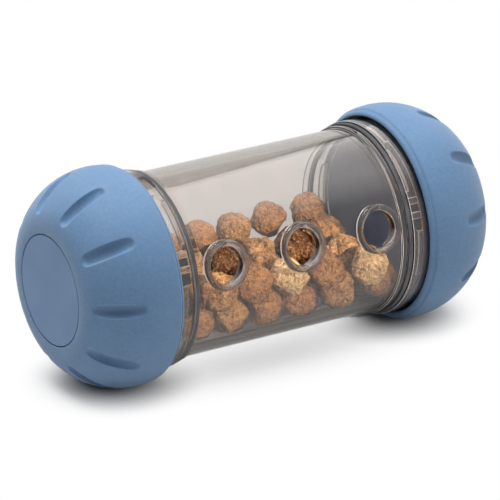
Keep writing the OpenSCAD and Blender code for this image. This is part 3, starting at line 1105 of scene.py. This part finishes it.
def softbox(name, place_m, size, power, spread=180, aim=(0, 0, 0)):
    """A rectangular soft lamp that faces its aim, and that the camera doesn't see."""
    lamp = bpy.data.lights.new(name, "AREA")
    lamp.shape = "RECTANGLE"
    lamp.size, lamp.size_y = size
    lamp.energy = power
    lamp.spread = math.radians(spread)
    holder = bpy.data.objects.new(name, lamp)
    bpy.context.scene.collection.objects.link(holder)
    holder.location = place_m
    holder.rotation_euler = (Vector(aim) - holder.location).to_track_quat("-Z", "Y").to_euler()
    holder.visible_camera = False
    return holder


top_lamp = softbox("top_softbox", place_m=(0.0, -0.05, 1.1), size=(1.1, 0.9), power=19)
front_lamp = softbox("front_softbox", place_m=(0.6, -0.9, 0.3), size=(0.9, 0.6), power=2)
grid_lamp = softbox(
    "grid_softbox", place_m=(0.02, -0.82, 0.37), size=(0.1, 0.066), power=0.063, spread=1.2,
    aim=(0, -0.005, -0.005),
)
back_lamp = softbox("back_softbox", place_m=(-0.2, 0.6, 1.0), size=(0.6, 0.5), power=7.5)
for lamp in (top_lamp, front_lamp, grid_lamp):
    lamp.visible_glossy = False
    lamp.visible_transmission = False
print("lamps:", [lamp.name for lamp in (top_lamp, front_lamp, grid_lamp, back_lamp)])

# %% [markdown]
# A bright card above the tube is seen only in shiny and clear plastic: its upper edge is the long
# straight line on the clear wall. Its face fades out downwards. Along its upper edge runs a dark
# frame, and the studio above that is a little darker than the white room. The stops run up the
# card, from 0 to 1, as shares of its glow.

# %% Card
CARD_PLACE = Vector((0.62, -0.075, 1.06))
CARD_ROLL = -25.07
CARD_SIZE = (3.2, 2.0)
CARD_GLOW = 2.9
CARD_STOPS = [
    (0.18, 0.345), (0.46, 1.0), (0.695, 1.0), (0.6955, 0.03),
    (0.712, 0.03), (0.7125, 0.15), (0.96, 0.15), (0.98, 0.345),
]

card = added("side_card", bpy.ops.mesh.primitive_plane_add, size=1)
facing = (-CARD_PLACE).to_track_quat("-Z", "Y") @ Quaternion((0, 0, 1), math.radians(CARD_ROLL))
card.rotation_euler = facing.to_euler()
card.location = CARD_PLACE
card.scale = (*CARD_SIZE, 1)
bpy.ops.object.transform_apply(location=True, rotation=True, scale=True)
cloth = new_finish("card_cloth")
upward = facing @ Vector((0, 1, 0))
height = cloth.vector("DOT_PRODUCT", cloth.place(), upward, "Value")
share = (height - CARD_PLACE.dot(upward)) * (1 / CARD_SIZE[1]) + 0.5
glow = cloth.ramp(share, [(position, (level, level, level, 1)) for position, level in CARD_STOPS])
cloth.owner.cycles.emission_sampling = "NONE"
card.data.materials.append(
    cloth.show(cloth.node("Emission", {}, {"Color": glow, "Strength": CARD_GLOW}))
)
card.visible_camera = False
card.visible_diffuse = False
card.visible_shadow = False

# %% [markdown]
# The camera stands where the photographer stood: to the left of the row of ports, a little
# above it, and far away with a long lens. Its place comes from the outlines of the caps.

# %% Camera
AZIMUTH = math.radians(-32.05)
ELEVATION = math.radians(22.1)
DISTANCE = 1.7535
FOCAL_PX = 4405
FRAME_PX = 500
TOY_PX = (253.36, 242.76)

lens = bpy.data.cameras.new("photo_camera")
lens.sensor_width = 36
lens.lens = FOCAL_PX / FRAME_PX * lens.sensor_width
lens.shift_x = (FRAME_PX / 2 - TOY_PX[0]) / FRAME_PX
lens.shift_y = (TOY_PX[1] - FRAME_PX / 2) / FRAME_PX
lens.clip_end = 20
camera = bpy.data.objects.new("photo_camera", lens)
bpy.context.scene.collection.objects.link(camera)
back = Vector((
    math.sin(AZIMUTH) * math.cos(ELEVATION),
    -math.cos(AZIMUTH) * math.cos(ELEVATION),
    math.sin(ELEVATION),
))
camera.location = back * DISTANCE
camera.rotation_euler = (-back).to_track_quat("-Z", "Y").to_euler()
bpy.context.scene.camera = camera
print("camera at", [round(way, 3) for way in camera.location], "with a lens of", round(lens.lens), "mm")

# %% [markdown]
# Light crosses many clear walls on its way through the toy, so it may bounce often. Without the
# light tree every lamp has the same chance at each point, the small beam too.

# %% View settings
BOUNCES = 24

scene = bpy.context.scene
scene.view_settings.view_transform = "Standard"
scene.cycles.use_light_tree = False
scene.cycles.max_bounces = BOUNCES
scene.cycles.transmission_bounces = BOUNCES
scene.cycles.transparent_max_bounces = BOUNCES
print("bounces:", scene.cycles.max_bounces)
